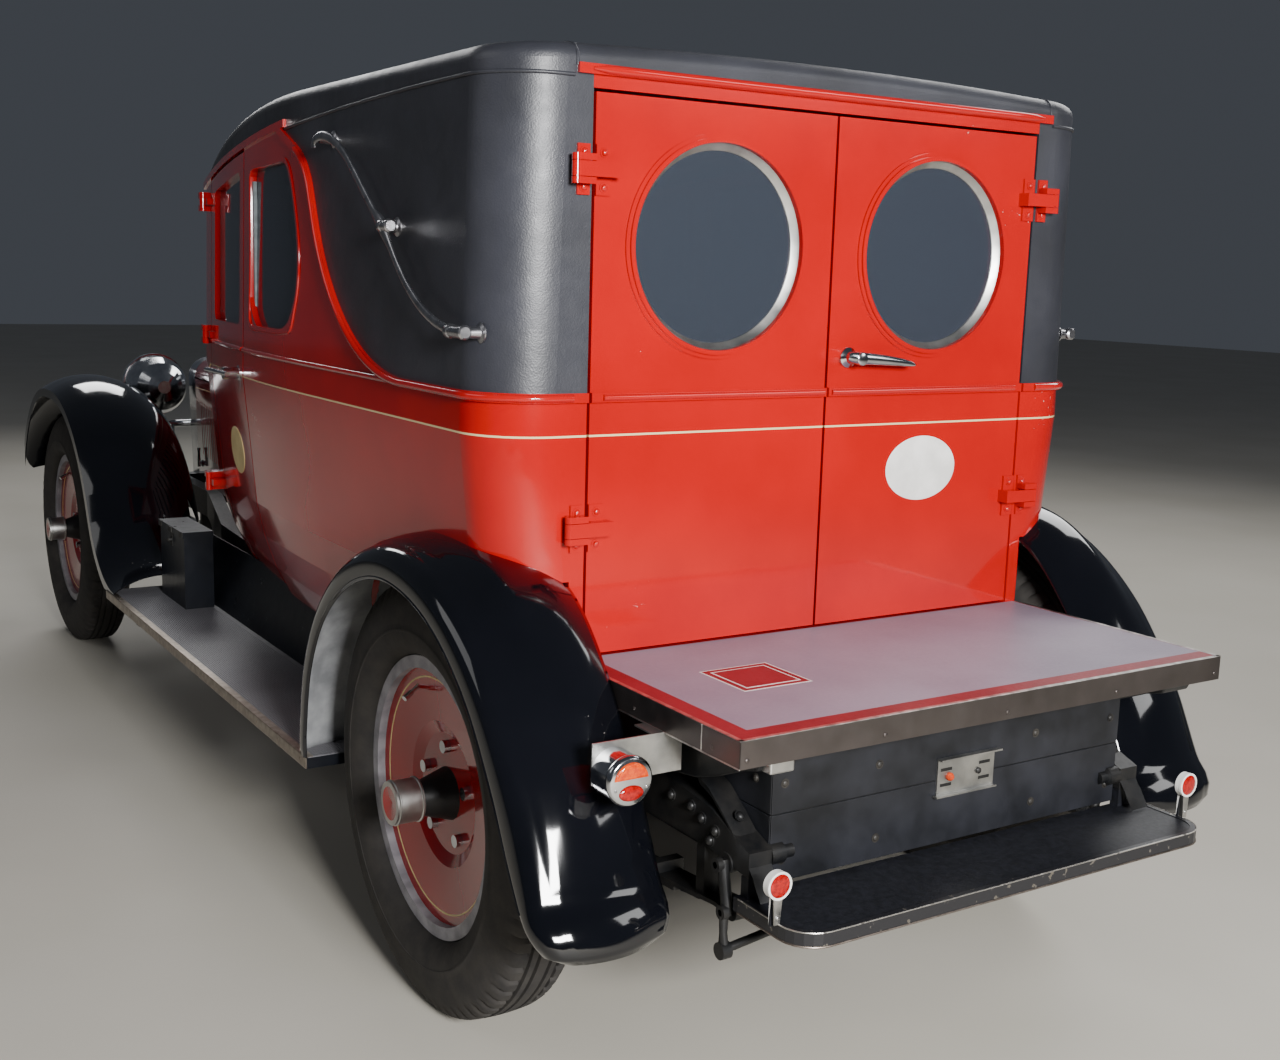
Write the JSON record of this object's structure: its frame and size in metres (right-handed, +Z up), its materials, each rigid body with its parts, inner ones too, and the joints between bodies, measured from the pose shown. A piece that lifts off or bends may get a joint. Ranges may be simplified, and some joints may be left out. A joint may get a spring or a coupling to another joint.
{
  "type": "hearse",
  "caption": "Motor hearse of the late 1920s: closed coach body with leathercloth quarters, round rear windows, rear platform and step, separate fenders and disc wheels.",
  "frame": {"origin": "on the floor below the middle of the overall box", "axes": "+X to the vehicle's right, +Y forward, +Z up"},
  "size_m": [1.72, 4.8, 1.915],
  "materials": {
    "red_paint": "gloss coach paint",
    "black_paint": "gloss enamel",
    "leathercloth": "grained leathercloth",
    "wheel_paint": "gloss enamel",
    "tyre_rubber": "worn rubber",
    "window_glass": "clear sheet glass",
    "bright_metal": "polished plate",
    "core_metal": "dull fins",
    "iron": "oily iron",
    "boards": "worn boards",
    "board_rubber": "ribbed mat and lino",
    "fittings": "worn enamel",
    "seat_leather": "worn leather",
    "steering_black": "hard rubber"
  },
  "bodies": {
    "body": {"chassis": "black_paint", "axles": "black_paint", "engine": "iron", "radiator_shell": "bright_metal", "radiator_core": "core_metal", "headlamps": "bright_metal", "cowl": "red_paint", "fixed_glass": "window_glass", "floor": "boards", "body_shell": "red_paint", "quarters": "leathercloth", "roof": "leathercloth", "body_trim": "red_paint", "front_fenders": "black_paint", "rear_fenders": "black_paint", "running_boards": "board_rubber", "landau_irons": "bright_metal", "platform": "board_rubber", "tail_box": "black_paint", "tail_fittings": "fittings", "seat": "seat_leather", "steering_column": "black_paint", "hood_sides": "red_paint"},
    "front_door_left": {"front_door_left": "red_paint", "front_glass_left": "window_glass"},
    "front_door_right": {"front_door_right": "red_paint", "front_glass_right": "window_glass"},
    "rear_door_left": {"rear_door_left": "red_paint", "rear_glass_left": "window_glass"},
    "rear_door_right": {"rear_door_right": "red_paint", "rear_glass_right": "window_glass", "rear_door_handle": "bright_metal"},
    "hood_left": {"hood_left": "red_paint"},
    "hood_right": {"hood_right": "red_paint"},
    "steering_wheel_body": {"steering_wheel": "steering_black"},
    "knuckle_left": {"knuckle_left": "black_paint"},
    "knuckle_right": {"knuckle_right": "black_paint"},
    "wheel_front_left": {"wheel_front_left": "wheel_paint", "tyre_front_left": "tyre_rubber"},
    "wheel_front_right": {"wheel_front_right": "wheel_paint", "tyre_front_right": "tyre_rubber"},
    "wheel_rear_left": {"wheel_rear_left": "wheel_paint", "tyre_rear_left": "tyre_rubber"},
    "wheel_rear_right": {"wheel_rear_right": "wheel_paint", "tyre_rear_right": "tyre_rubber"}
  },
  "joints": [
    {"name": "rear_door_left_hinge", "type": "hinge", "parent": "body", "child": "rear_door_left", "pos_m": [-0.609, -1.79, 1.353], "axis": [0, 0, -1], "range_deg": [0, 90]},
    {"name": "front_door_left_hinge", "type": "hinge", "parent": "body", "child": "front_door_left", "pos_m": [-0.69161, 0.238, 1.285], "axis": [0, 0, -1], "range_deg": [0, 70]},
    {"name": "hood_left_hinge", "type": "hinge", "parent": "body", "child": "hood_left", "pos_m": [0, 0.82, 1.18425], "axis": [0, 0.9979, -0.0654], "range_deg": [0, 60]},
    {"name": "rear_door_right_hinge", "type": "hinge", "parent": "body", "child": "rear_door_right", "pos_m": [0.609, -1.79, 1.353], "axis": [0, 0, 1], "range_deg": [0, 90]},
    {"name": "front_door_right_hinge", "type": "hinge", "parent": "body", "child": "front_door_right", "pos_m": [0.69161, 0.238, 1.285], "axis": [0, 0, 1], "range_deg": [0, 70]},
    {"name": "hood_right_hinge", "type": "hinge", "parent": "body", "child": "hood_right", "pos_m": [0, 0.82, 1.18425], "axis": [0, -0.9979, 0.0654], "range_deg": [0, 60]},
    {"name": "steering_wheel_turn", "type": "hinge", "parent": "body", "child": "steering_wheel_body", "pos_m": [-0.34, 0.1695, 1.21042], "axis": [0, -0.8914, 0.4532], "range_deg": [-364, 364]},
    {"name": "knuckle_left_steer", "type": "hinge", "parent": "body", "child": "knuckle_left", "pos_m": [-0.575, 1.89, 0.445], "axis": [0, 0, 1], "range_deg": [-28, 28]},
    {"name": "knuckle_right_steer", "type": "hinge", "parent": "body", "child": "knuckle_right", "pos_m": [0.575, 1.89, 0.445], "axis": [0, 0, 1], "range_deg": [-28, 28]},
    {"name": "wheel_front_left_spin", "type": "hinge", "parent": "knuckle_left", "child": "wheel_front_left", "pos_m": [-0.711, 1.89, 0.445], "axis": [1, 0, 0], "continuous": true},
    {"name": "wheel_front_right_spin", "type": "hinge", "parent": "knuckle_right", "child": "wheel_front_right", "pos_m": [0.711, 1.89, 0.445], "axis": [1, 0, 0], "continuous": true},
    {"name": "wheel_rear_left_spin", "type": "hinge", "parent": "body", "child": "wheel_rear_left", "pos_m": [-0.711, -1.51, 0.445], "axis": [1, 0, 0], "continuous": true},
    {"name": "wheel_rear_right_spin", "type": "hinge", "parent": "body", "child": "wheel_rear_right", "pos_m": [0.711, -1.51, 0.445], "axis": [1, 0, 0], "continuous": true}
  ],
  "couplings": [
    {"joint": "knuckle_left_steer", "follows": "steering_wheel_turn", "ratio": 0.076923},
    {"joint": "knuckle_right_steer", "follows": "steering_wheel_turn", "ratio": 0.076923}
  ]
}
